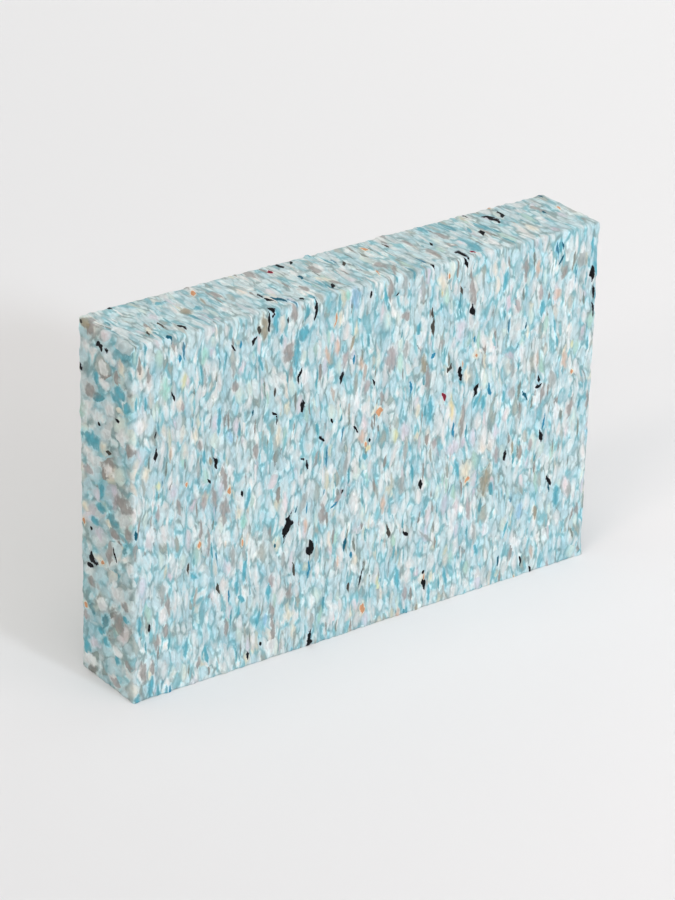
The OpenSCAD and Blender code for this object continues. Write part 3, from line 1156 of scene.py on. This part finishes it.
def towards(azimuth, elevation):
    """The way to a place round the block, as azimuth 0 in front and 90 to the right."""
    turn, rise = math.radians(azimuth), math.radians(elevation)
    return Vector((math.sin(turn) * math.cos(rise), -math.cos(turn) * math.cos(rise), math.sin(rise)))


def lamp(name, kind, colour, energy, azimuth, elevation, distance, shape):
    """A lamp of the studio, turned to the block."""
    data = bpy.data.lights.new(name, kind)
    data.color = colour
    data.energy = energy
    for setting, value in shape.items():
        setattr(data, setting, value)
    placed = bpy.data.objects.new(name, data)
    bpy.context.scene.collection.objects.link(placed)
    way = towards(azimuth, elevation)
    placed.location = (BLOCK_MIDDLE + way * distance) * MM
    placed.rotation_mode = "QUATERNION"
    placed.rotation_quaternion = way.to_track_quat("Z", "Y")


def far_lamp(name, colour, level, azimuth, elevation, spread):
    """A wide soft lamp, so far off that it lights the whole floor alike. Its level is how bright it
    makes a white face that looks at it, and its spread is how wide it looks, in degrees."""
    shape = {"angle": math.radians(spread)}
    lamp(name, "SUN", colour, level * math.pi, azimuth, elevation, FAR, shape)


def near_lamp(name, colour, level, azimuth, elevation, distance, width, height):
    """A soft lamp close to the block, which it lights more at the side nearest to it."""
    shape = {"shape": "RECTANGLE", "size": width * MM, "size_y": height * MM}
    energy = level * (math.pi * distance * MM) ** 2
    lamp(name, "AREA", colour, energy, azimuth, elevation, distance, shape)


def pale_room():
    """The light that comes from all round, stronger from the back and from the left."""
    world = bpy.data.worlds.new("pale_room")
    bpy.context.scene.world = world
    world.use_nodes = True
    world.node_tree.nodes.clear()
    bench = Bench(world.node_tree)
    rightwards, backwards, _ = bench.get("ShaderNodeTexCoord", "Generated", {}, {}).parts()
    colour = ALL_ROUND + backwards * FROM_BACK - rightwards * FROM_LEFT
    room = bench.get("ShaderNodeBackground", "Background", {}, {"Color": colour, "Strength": 1.0})
    bench.add("ShaderNodeOutputWorld", {}, {"Surface": room})


# The light of the room: red, green and blue from every side, and what the back and the left add
ALL_ROUND = (0.353, 0.373, 0.375)
FROM_BACK = (0.319, 0.325, 0.318)
FROM_LEFT = (0.14, 0.138, 0.13)
# Each far lamp: its tint, its level for a white face, its azimuth and elevation, and how wide it
# looks, in degrees
FAR_LAMPS = {
    "front_lamp": ((0.923, 1.0, 1.11), 0.313, 10, 24, 8),
    "left_lamp_low": ((1.175, 1.0, 0.945), 0.061, -60, 30, 9),
    "left_lamp_high": ((1.196, 1.0, 0.927), 0.078, -72, 44, 9),
    "ceiling": ((1.107, 1.0, 0.928), 0.202, 50, 86, 40),
    "wide_screen": ((1.037, 1.0, 1.015), 0.257, -20, 50, 60),
}
FAR = 5000
# The near lamp's tint and level, its azimuth, elevation and distance, and its width and height
NEAR_LAMP = ((1.126, 1.0, 1.022), 0.163, 32, 27, 1000, 500, 350)


def studio_light():
    """A pale room with a wide screen and a lamp in front, weaker lamps to the left and a near one."""
    pale_room()
    for name, (tint, level, azimuth, elevation, spread) in FAR_LAMPS.items():
        far_lamp(name, tint, level, azimuth, elevation, spread)
    near_lamp("near_lamp", *NEAR_LAMP)


# The camera's place, fitted to the block's corners
CAMERA_AZIMUTH = -36.57
CAMERA_ELEVATION = 25.96
CAMERA_ROLL = 1.33
CAMERA_DISTANCE = 1857.9
CAMERA_SIDEWAYS = 107.2
CAMERA_UPWARDS = 133.5
CAMERA_LENS = 141.43
SENSOR = 36.0


def studio_camera():
    """The camera, which looks down at the front, the left end and the top."""
    back = towards(CAMERA_AZIMUTH, CAMERA_ELEVATION)
    turn, roll = math.radians(CAMERA_AZIMUTH), math.radians(CAMERA_ROLL)
    level = Vector((math.cos(turn), math.sin(turn), 0.0))
    upright = back.cross(level)
    across = math.cos(roll) * level + math.sin(roll) * upright
    upward = math.cos(roll) * upright - math.sin(roll) * level
    corner = Vector(BLOCK_LOW)
    place = corner + CAMERA_DISTANCE * back + CAMERA_SIDEWAYS * across + CAMERA_UPWARDS * upward
    camera = bpy.data.objects.new("studio_camera", bpy.data.cameras.new("studio_camera"))
    bpy.context.scene.collection.objects.link(camera)
    turned = Matrix((across, upward, back)).transposed().to_4x4()
    camera.matrix_world = Matrix.Translation(place * MM) @ turned
    camera.data.lens = CAMERA_LENS
    camera.data.sensor_width = SENSOR
    bpy.context.scene.camera = camera


bpy.context.scene.view_settings.view_transform = "Standard"
studio_camera()
studio_floor()
studio_light()
foam_block()
